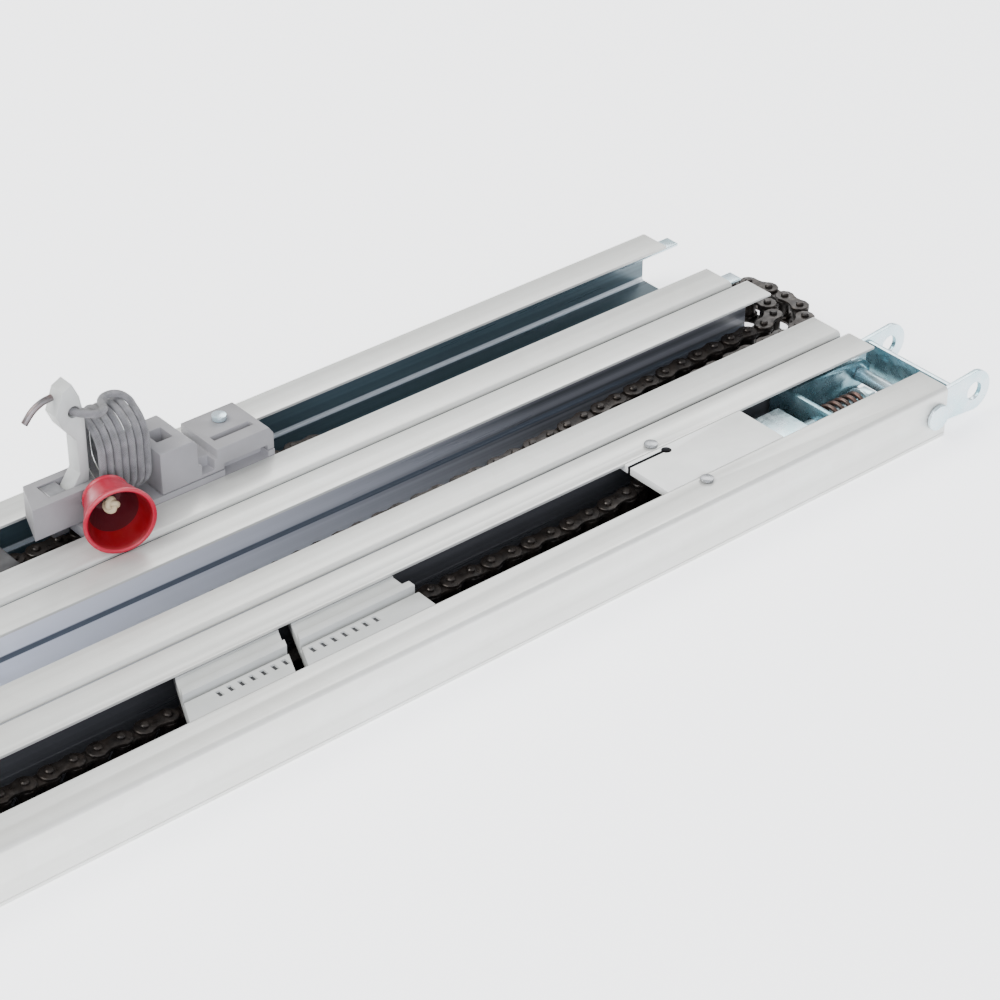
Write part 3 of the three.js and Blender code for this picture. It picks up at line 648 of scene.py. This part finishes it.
def make_bell():
    """Bell-shaped pull: beaded mouth, ribbed shoulder and an open throat for the cord.

    Its profile runs up the outside from the mouth, through the throat and down the inside.
    """
    mouth, end, length = BELL_RADIUS, 8.2, BELL_LENGTH
    profile = [
        (mouth - 0.5, 0.0), (mouth - 0.1, 0.3), (mouth, 0.9), (mouth - 0.2, 1.6), (mouth - 0.9, 2.2),
        (mouth - 1.6, 5.0), (mouth - 2.7, 9.0), (end + 1.4, 13.5), (end + 0.6, 16.4),
        (end + 0.9, 16.8), (end + 0.9, 17.8), (end + 0.3, 18.2), (end - 0.5, 19.6), (end - 1.6, 20.4),
        (end - 2.4, length), (3.6, length), (2.9, length - 0.4), (2.8, length - 1.8),
        (3.3, length - 2.2), (end - 2.6, length - 2.3), (end - 1.6, length - 3.4), (end - 0.6, 13.2),
        (mouth - 4.2, 9.0), (mouth - 3.0, 5.0), (mouth - 2.2, 2.0), (mouth - 1.7, 0.4),
        (mouth - 1.2, 0.0),
    ]
    bell = turned("release_bell_fine", profile, BELL_MOUTH, BELL_AXIS, "red_plastic", 72)
    # painted shade on the inner wall past 0.6 mm from the mouth, darker past 8.5 mm
    second_finish(bell, RED_SHADE, lambda place, normal: inside_bell(place, normal, 0.6))
    second_finish(bell, RED_DEEP_SHADE, lambda place, normal: inside_bell(place, normal, 8.5))
    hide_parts("release_bell")
    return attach(bell, "trolley")


def inside_bell(place, normal, depth):
    """Whether a face is on the bell's inner wall, further in than depth."""
    along = (place - BELL_MOUTH).dot(BELL_AXIS)
    outward = place - BELL_MOUTH - BELL_AXIS * along
    return along > depth and normal.dot(outward) < 0


def make_knot():
    """Overhand knot under the bell's throat: a few fat turns of the cord's beige core."""
    low, high = mm_box("cord_knot")
    middle, radius = (low + high) / 2, (high.x - low.x) / 2
    turn = Vector((0, 0, 1)).rotation_difference(BELL_AXIS).to_matrix()
    path = []
    for i in range(2 * TURN_POINTS + 1):
        angle = 2 * math.pi * i / TURN_POINTS
        r = (radius - KNOT_STRAND) * (0.72 + 0.28 * math.cos(1.5 * angle))
        local = Vector((r * math.cos(angle), r * math.sin(angle), KNOT_STRAND * math.sin(1.5 * angle)))
        path.append(middle + turn @ local)
    knot, _ = swept("cord_knot_fine", path, KNOT_STRAND, "knot_fibre", 10)
    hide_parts("cord_knot")
    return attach(knot, "trolley")


make_cord()

# ---- chain --------------------------------------------------------------------------------------

LEFT_END, RIGHT_END = -504.4, 500.0  # where the folds begin
RAIL_LEFT, RAIL_RIGHT = -504.1, 499.7
REAR_START, FRONT_START = -474.7, 398.5  # where the strands leave the sprockets' turns
REAR_FLAT, FRONT_FLAT = -440, 350  # where they have come down to the rail's floor

# Each run's (X, Y) stations. Between two of them the chain drifts sideways in an S.
RUNS = {
    "front_near": [(RAIL_LEFT, -66.5), (380, -66.5), (FRONT_START, IDLER.y - PITCH_RADIUS)],
    "front_far": [(RAIL_LEFT, -50.7), (380, -50.7), (FRONT_START, IDLER.y + PITCH_RADIUS)],
    "middle_near": [(RAIL_LEFT, -21.5), (60, -21.5), (230, -13.6), (330, -11.9), (RAIL_RIGHT, -2)],
    "middle_far": [(RAIL_LEFT, -12.1), (60, -12.1), (230, -4), (330, -2.2), (RAIL_RIGHT, 9)],
    "rear_near": [
        (REAR_START, DRIVE.y - PITCH_RADIUS), (REAR_FLAT, 52.8), (190, 52.8), (300, 48.1), (370, 36),
        (RAIL_RIGHT, 36),
    ],
    "rear_far": [
        (REAR_START, DRIVE.y + PITCH_RADIUS), (REAR_FLAT, 62.2), (190, 62.2), (300, 57.5), (370, 45.4),
        (RAIL_RIGHT, 45.4),
    ],
}

# Each fold's start in X, its two strands' Y, its radius and how far out it reaches in X.
FOLDS = {
    "left_outer": (LEFT_END, -66.5, -12.1, 18, -534.8),
    "left_inner": (LEFT_END, -50.7, -21.5, 14.6, -525.6),
    "right_outer": (RIGHT_END, -2, 45.4, 17, 531.2),
    "right_inner": (RIGHT_END, 9, 36, 13.5, 521.6),
}


def ease(t):
    return t * t * (3 - 2 * t)


def strand_y(name, x):
    for (x0, y0), (x1, y1) in zip(RUNS[name], RUNS[name][1:]):
        if x <= x1:
            return y0 + (y1 - y0) * ease(max((x - x0) / (x1 - x0), 0))
    return RUNS[name][-1][1]


def nearer_strand(rail, place):
    """Whether place is on the near side of the line midway between a rail's two strands."""
    return place.y < (strand_y(f"{rail}_near", place.x) + strand_y(f"{rail}_far", place.x)) / 2


def mid_height(x, rail):
    """The chain lies on the rail's floor, and rises to the sprocket's middle at its turn."""
    if rail == "middle":
        return CHAIN_MID
    flat, start = (REAR_FLAT, REAR_START) if rail == "rear" else (FRONT_FLAT, FRONT_START)
    rise = min(max((x - flat) / (start - flat), 0), 1)
    return CHAIN_MID + (TURN_MID - CHAIN_MID) * ease(rise)


def run_line(name, backwards=False):
    """A run's centre line, with points about 3 mm apart."""
    points = []
    for (x0, y0), (x1, y1) in zip(RUNS[name], RUNS[name][1:]):
        steps = max(2, int((x1 - x0) / 3))
        for k in range(steps):
            t = k / steps
            points.append((x0 + (x1 - x0) * t, y0 + (y1 - y0) * ease(t)))
    points.append(RUNS[name][-1])
    rail = name.split("_")[0]
    line = [Vector((x, y, mid_height(x, rail))) for x, y in points]
    return line[::-1] if backwards else line


def fold_line(name):
    """Out of a rail's end, round to the next rail: two quarter turns with a straight between."""
    x, y_from, y_to, radius, apex = FOLDS[name]
    outward = radius if apex > 0 else -radius
    line = [Vector((x, y_from, CHAIN_MID))]
    for start, middle_y in ((0, y_from + radius), (90, y_to - radius)):
        for k in range(13):
            angle = math.radians(start + 90 * k / 12)
            fold_x = apex - outward + outward * math.sin(angle)
            line.append(Vector((fold_x, middle_y - radius * math.cos(angle), CHAIN_MID)))
    line.append(Vector((x, y_to, CHAIN_MID)))
    return line


def seat(sprocket, degrees):
    """The place of a roller on a sprocket."""
    angle = math.radians(degrees)
    x, y = sprocket.x + PITCH_RADIUS * math.cos(angle), sprocket.y + PITCH_RADIUS * math.sin(angle)
    return Vector((x, y, TURN_MID))


def rollers_along(line):
    """Roller centres in an even number of equal steps of about one pitch, from end to end."""
    gaps = [(b - a).length for a, b in zip(line, line[1:])]
    total = sum(gaps)
    links = 2 * round(total / PITCH / 2)
    step = total / links
    centres, walked, i = [line[0].copy()], 0.0, 0
    for k in range(1, links):
        target = k * step
        while walked + gaps[i] < target:
            walked += gaps[i]
            i += 1
        centres.append(line[i].lerp(line[i + 1], (target - walked) / gaps[i]))
    centres.append(line[-1].copy())
    return centres


def without_repeats(line):
    kept = [line[0]]
    for point in line[1:]:
        if (point - kept[-1]).length > 0.05:
            kept.append(point)
    return kept


def loop_rollers():
    """Every roller of the endless chain in order: out along one strand, and back along the other."""
    lower = [seat(IDLER, -90)] + run_line("front_near", True)
    lower += fold_line("left_outer") + run_line("middle_far")
    lower += fold_line("right_inner") + run_line("rear_near", True) + [seat(DRIVE, -90)]
    upper = [seat(IDLER, 90)] + run_line("front_far", True)
    upper += fold_line("left_inner") + run_line("middle_near")
    upper += fold_line("right_outer") + run_line("rear_far", True) + [seat(DRIVE, 90)]
    lower = rollers_along(without_repeats(lower))
    upper = rollers_along(without_repeats(upper))
    idler_turn = [seat(IDLER, a) for a in (90, 45, 0, -45, -90)]
    drive_turn = [seat(DRIVE, a) for a in (-90, -135, -180, -225, -270)]
    return lower[:-1] + drive_turn[:-1] + upper[::-1][:-1] + idler_turn[:-1]


def plate_outline(half_pitch, steps=9):
    """Figure-of-eight link plate: two round ends and a waist."""
    outline = []
    for side in (1, -1):
        for k in range(steps):
            angle = math.radians(-128 + 256 * k / (steps - 1))
            u = half_pitch + PLATE_HALF * math.cos(angle)
            outline.append((side * u, side * PLATE_HALF * math.sin(angle)))
        outline.append((0, side * PLATE_HALF * 0.70))
    return outline


def plate_shape(low, high, chamfer):
    """A link plate from low to high, with a chamfer round its upper face."""
    outline = plate_outline(PITCH / 2)
    count = len(outline)
    levels = [(low, 1.0), (high - chamfer, 1.0)]
    if chamfer > 0:
        levels.append((high, 1 - chamfer / PLATE_HALF))
    points = [
        (math.copysign(abs(u) - (1 - size) * PLATE_HALF, u) if abs(u) > 1 else u, v * size, z)
        for z, size in levels
        for u, v in outline
    ]
    faces = [tuple(reversed(range(count)))]
    for r in range(len(levels) - 1):
        a, b = r * count, (r + 1) * count
        faces += [(a + i, a + (i + 1) % count, b + (i + 1) % count, b + i) for i in range(count)]
    faces.append(tuple(range((len(levels) - 1) * count, len(levels) * count)))
    return points, faces


def stack_shape(x, rings, steps):
    """Rings of (radius, height) about a pin's centre line at x, closed at both ends."""
    points, faces = [], [tuple(reversed(range(steps)))]
    for radius, z in rings:
        points += [(x + u, v, z) for u, v in round_outline(0, 0, radius, steps)]
    for r in range(len(rings) - 1):
        a, b = r * steps, (r + 1) * steps
        faces += [(a + i, a + (i + 1) % steps, b + (i + 1) % steps, b + i) for i in range(steps)]
    faces.append(tuple(range((len(rings) - 1) * steps, len(rings) * steps)))
    return points, faces


def joined(shapes):
    points, faces = [], []
    for more_points, more_faces in shapes:
        start = len(points)
        points += more_points
        faces += [tuple(i + start for i in face) for face in more_faces]
    return points, faces


def link_templates():
    """The inner link with its two rollers, and the outer link with its two pins, along X."""
    half = CHAIN_HEIGHT / 2
    inner_low, inner_high = 2.86, 4.16
    outer_low, outer_high = 4.28, 5.38
    chamfer = 0.25
    roller = [(2.2, -2.85), (3.17, -2.7), (3.17, 2.7), (2.2, 2.85)]
    pin = [(1.64, -half), (1.64, 4.9), (1.64, half - 0.45), (1.15, half)]
    inner = joined([
        plate_shape(inner_low, inner_high, chamfer), plate_shape(-inner_high, -inner_low, 0),
        stack_shape(PITCH / 2, roller, 12), stack_shape(-PITCH / 2, roller, 12),
    ])
    outer = joined([
        plate_shape(outer_low, outer_high, chamfer), plate_shape(-outer_high, -outer_low, 0),
        stack_shape(PITCH / 2, pin, 10), stack_shape(-PITCH / 2, pin, 10),
    ])
    return [(np.array(points), faces) for points, faces in (inner, outer)]


def outer_strand(end, place):
    """Whether place is on the outer of the two strands that fold round an end."""
    _, low_out, high_out, _, apex_out = FOLDS[f"{end}_outer"]
    _, low_in, high_in, _, apex_in = FOLDS[f"{end}_inner"]
    beyond = abs(place.x) > abs(apex_out + apex_in) / 2
    return beyond or place.y < (low_out + low_in) / 2 or place.y > (high_out + high_in) / 2


def chain_piece_of(middle):
    """The CAD node that a link stands for."""
    if middle.x > 400 and middle.y < -40:
        return "chain_turn_idler"
    if middle.x < -476 and middle.y > 35:
        return "chain_turn_drive"
    if not LEFT_END <= middle.x <= RIGHT_END:
        end = "left" if middle.x < 0 else "right"
        return f"chain_turn_{end}_outer" if outer_strand(end, middle) else f"chain_turn_{end}_inner"
    rail = "front" if middle.y < -29 else "rear" if middle.y > 24 else "middle"
    return f"chain_{rail}_near" if nearer_strand(rail, middle) else f"chain_{rail}_far"


def make_chain():
    """Inner and outer links in turn, each stretched by the little that fits the loop's length."""
    rollers = loop_rollers()
    templates = link_templates()
    parts = {}
    for k, start in enumerate(rollers):
        end = rollers[(k + 1) % len(rollers)]
        middle = (start + end) / 2
        along = (end - start).normalized()
        across = Vector((0, 0, 1)).cross(along).normalized()
        up = along.cross(across)
        points, faces = templates[k % 2]
        spread = (end - start).length / PITCH
        local = points.copy()
        local[:, 0] += np.sign(local[:, 0]) * (spread - 1) * PITCH / 2
        placed = local @ np.array([along, across, up]) + np.array(middle)
        vertices, all_faces = parts.setdefault(chain_piece_of(middle), ([], []))
        base = sum(len(v) for v in vertices)
        vertices.append(placed)
        all_faces += [tuple(i + base for i in face) for face in faces]
    for node, (vertices, all_faces) in parts.items():
        chain = mesh_object(f"{node}_links", np.concatenate(vertices), all_faces, "chain_steel", 32)
        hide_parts(node)
        if node.startswith("chain_front"):
            start, end = Vector((300, FRONT_Y, 8)), Vector((398, FRONT_Y, 8))
            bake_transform(chain)
        elif node == "chain_turn_idler":
            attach(chain, "tension_carriage")
        else:
            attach(chain, "rails")


make_chain()

# ---- tension spring and bolt --------------------------------------------------------------------

SPRING_LOW, SPRING_HIGH = mm_box("tension_spring")
BOLT_Z = (SPRING_LOW.z + SPRING_HIGH.z) / 2


def make_spring():
    """Compression spring with its end coils closed."""
    wire = 0.95
    coils, steps = 7.0, 28
    closed, closed_share = 0.85, 0.04  # of a turn, and of the length
    mean = (SPRING_HIGH.z - SPRING_LOW.z) / 2 - wire
    low, high = SPRING_LOW.x + wire + 0.05, SPRING_HIGH.x - wire - 0.05
    path = []
    for i in range(int(coils * steps) + 1):
        turn = i / steps
        if turn < closed:
            share = closed_share * turn / closed
        elif turn > coils - closed:
            share = 1 - closed_share * (coils - turn) / closed
        else:
            share = closed_share + (1 - 2 * closed_share) * (turn - closed) / (coils - 2 * closed)
        angle = 2 * math.pi * turn
        y, z = FRONT_Y + mean * math.cos(angle), BOLT_Z + mean * math.sin(angle)
        path.append(Vector((low + (high - low) * share, y, z)))
    spring, _ = swept("tension_spring_coils", path, wire, "spring_steel", 10, False)
    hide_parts("tension_spring")
    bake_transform(spring)


def make_bolt():
    """Hex-headed M6 bolt: chamfered head against the fork's web, and a rolled thread."""
    low, high = mm_box("tension_bolt")
    radius, pitch, depth = 3.0, 1.0, 0.55
    head_end = low.x + 4.1
    plain = 3.5  # length of the shank that has no thread
    profile = [(0.01, high.x), (1.6, high.x), (2.4, high.x - 0.8)]
    x = high.x - 1.0
    while x > head_end + plain:
        profile += [(radius, x), (radius, x - 0.15)]
        profile += [(radius - depth, x - 0.5), (radius - depth, x - 0.65)]
        x -= pitch
    profile += [(radius - 0.1, x), (radius - 0.1, head_end), (0.01, head_end)]
    profile = [(r, place - low.x) for r, place in profile]
    along_x = Vector((1, 0, 0))
    bolt = turned("tension_bolt_thread", profile, (low.x, FRONT_Y, BOLT_Z), along_x, "zinc", 36)
    head_radius = 5.75
    corners = [math.radians(60 * k + 30) for k in range(6)]
    hexagon = [(head_radius * math.cos(a), head_radius * math.sin(a)) for a in corners]
    head = prism_points(hexagon, low.x, head_end, lambda u, v, w: (w, FRONT_Y + u, BOLT_Z + v))
    head_piece = bevelled(mesh_object("tension_bolt_head", *head, "zinc"), 0.4, 3)
    dressed(head_piece, "zinc")
    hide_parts("tension_bolt")
    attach(bolt, "tension_carriage")
    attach(head_piece, "tension_carriage")


make_spring()
make_bolt()

# ---- every other CAD piece, with its edges rounded and its small features cut -------------------

BODY_OF = {
    node: body for body, members in frame["record"]["behaviour"]["bodies"].items() for node in members
}
SLOT_OF = {piece["node"]: piece["material_slot"] for piece in frame["record"]["subparts"]}
BEVELS = {
    "galvanised_strip": EDGE, "zinc": 0.35, "tooth_steel": 0.4, "black_plastic": 0.5,
    "grey_plastic": 0.7, "pale_plastic": 0.5, "spring_steel": 0.25, "bronze": 0.3,
}
OWN_BEVEL = {
    "pivot_clip": 0.3, "slot_cover": 0.4, "release_lever": 0.8, "rail_coupler_right": 0.45,
    "rail_coupler_left": 0.45, "trolley_body": 0.9, "trolley_nose": 0.8, "tension_nut": 0.45,
}
OWN_FINISH = {
    "release_hook": HOOK_WIRE, "slot_cover": COVER_WHITE, "cover_rivet_near": DULL_RIVET,
    # the anchor and the idler axle take the zinc with painted shade
    "cover_rivet_far": DULL_RIVET, "tension_anchor": SHADED_ZINC, "idler_axle": SHADED_ZINC,
}
COUPLERS = ("rail_coupler_right", "rail_coupler_left")

# Seven short notches on each coupler's near deck, in Y from the slot's middle and in Z.
NOTCH_COUNT, NOTCH_STEP, NOTCH_WIDTH = 7, 4.6, 1.9
NOTCH_NEAR, NOTCH_FAR = -7.2, -3.9
NOTCH_FLOOR, ABOVE_DECK = 22.5, 24.5


def rail_cuts(node):
    """The roll-forming line low on each outer wall."""
    low, high = mm_box(node)
    depth, line_low, line_high = 0.22, 2.75, 3.15
    return [
        block_points((low.x - 1, low.y - 1, line_low), (high.x + 1, low.y + depth, line_high)),
        block_points((low.x - 1, high.y - depth, line_low), (high.x + 1, high.y + 1, line_high)),
    ]


def coupler_cuts(node):
    """Serrations on the near deck, which the fitter's thumb pushes against."""
    low, high = mm_box(node)
    right = node.endswith("right")
    start = low.x + 8 if right else high.x - 13
    step = NOTCH_STEP if right else -NOTCH_STEP
    near, far = FRONT_Y + NOTCH_NEAR, FRONT_Y + NOTCH_FAR
    return [
        block_points((x, near, NOTCH_FLOOR), (x + NOTCH_WIDTH, far, ABOVE_DECK))
        for x in (start + step * k for k in range(NOTCH_COUNT))
    ]


def in_serration(place, normal):
    """Whether a face is a notch's floor."""
    inside = NOTCH_NEAR + 0.05 < place.y - FRONT_Y < NOTCH_FAR - 0.05
    return inside and NOTCH_FLOOR - 0.2 < place.z < NOTCH_FLOOR + 0.6 and abs(normal.z) > 0.5


def in_cover_slit(place, normal):
    """Whether a face is a wall of the slit in the cover's -X edge."""
    from_edge = place.x - mm_box("slot_cover")[0].x
    across = place.y - FRONT_Y
    return 0.6 < from_edge < 21.5 and 7.4 < across < 11.8 and abs(normal.z) < 0.4


CUTS = {name: rail_cuts(name) for name in RAILS}
CUTS.update({name: coupler_cuts(name) for name in COUPLERS})

# The outer walls that face another rail and take painted shade in the gap, +1 on the far side and -1
# on the near side.
FACING = {"rail_front": (1,), "rail_middle": (1, -1), "rail_rear": (-1,)}


def paint_rail_shade(obj, node):
    """Put the painted shade finish on a rail's inner faces, and on the walls that face another rail as
    shade in the narrow gaps.
    """
    def in_painted_shade(place, normal):
        if abs(normal.x) > 0.5:
            return False
        across = place.y - RAIL_Y[node]
        if abs(across) < RAIL_HALF - SHEET + 0.1 and SHEET - 0.2 < place.z < RAIL_HEIGHT - SHEET + 0.1:
            return True
        # painted shade on the outer walls in the gaps between rails
        facing = abs(across) > RAIL_HALF - 0.6 and math.copysign(1, across) in FACING[node]
        return facing and place.z < RAIL_HEIGHT - 0.9 * BEND

    second_finish(obj, INSIDE[node], in_painted_shade)


def on_web_back(place, normal):
    """Whether a face is on the side of the header bracket's web that looks into the rail."""
    return normal.x < -0.7 and place.x > 515


def make_the_rest():
    for node in sorted(SLOT_OF):
        if frame["nodes"][node].hide_render:
            continue
        slot = SLOT_OF[node]
        bevel = OWN_BEVEL.get(node, BEVELS[slot])
        obj = refined(node, slot, BODY_OF[node], bevel, CUTS.get(node, ()))
        if node in OWN_FINISH:
            obj.data.materials[0] = OWN_FINISH[node]
        if node in RAILS:
            paint_rail_shade(obj, node)
        if node in COUPLERS:
            # notch floors in black: painted shade in the notches
            second_finish(obj, MATERIALS["black_plastic"], in_serration)
        if node == "slot_cover":
            # slit walls in black: painted shade in the slit
            second_finish(obj, MATERIALS["black_plastic"], in_cover_slit)
        if node == "header_bracket":
            # painted shade on the side of the web that looks into the rail
            second_finish(obj, SHADED_ZINC, on_web_back)


make_the_rest()

# ---- floor and light ----------------------------------------------------------------------------


def make_floor():
    just_below = -0.0002
    bpy.ops.mesh.primitive_plane_add(size=14, location=(0, 0, just_below))
    floor = bpy.context.object
    floor.name = "floor"
    floor.data.materials.append(studio_floor())


def area_light(name, place, target, size, power, color=(1, 1, 1)):
    data = bpy.data.lights.new(name, "AREA")
    data.shape = "RECTANGLE"
    data.size, data.size_y = size
    data.energy = power
    data.color = color
    light = bpy.data.objects.new(name, data)
    bpy.context.scene.collection.objects.link(light)
    light.location = place
    light.rotation_euler = (Vector(target) - Vector(place)).to_track_quat("-Z", "Y").to_euler()


def make_light():
    world = bpy.data.worlds.new("studio")
    bpy.context.scene.world = world
    world.use_nodes = True
    background = world.node_tree.nodes["Background"]
    background.inputs["Color"].default_value = (0.95, 0.97, 1, 1)
    background.inputs["Strength"].default_value = 0.9
    area_light("key", (-0.9, 0.7, 1.9), (0.1, 0, 0), (1.6, 1.2), 50, (1, 0.985, 0.96))
    area_light("front_fill", (-0.7, -1.7, 0.9), (0.1, 0, 0), (2.2, 1.2), 60, (0.87, 0.89, 1))
    area_light("rim", (1.6, 0.9, 1.2), (0.3, 0, 0), (1.2, 0.8), 14)


make_floor()
make_light()
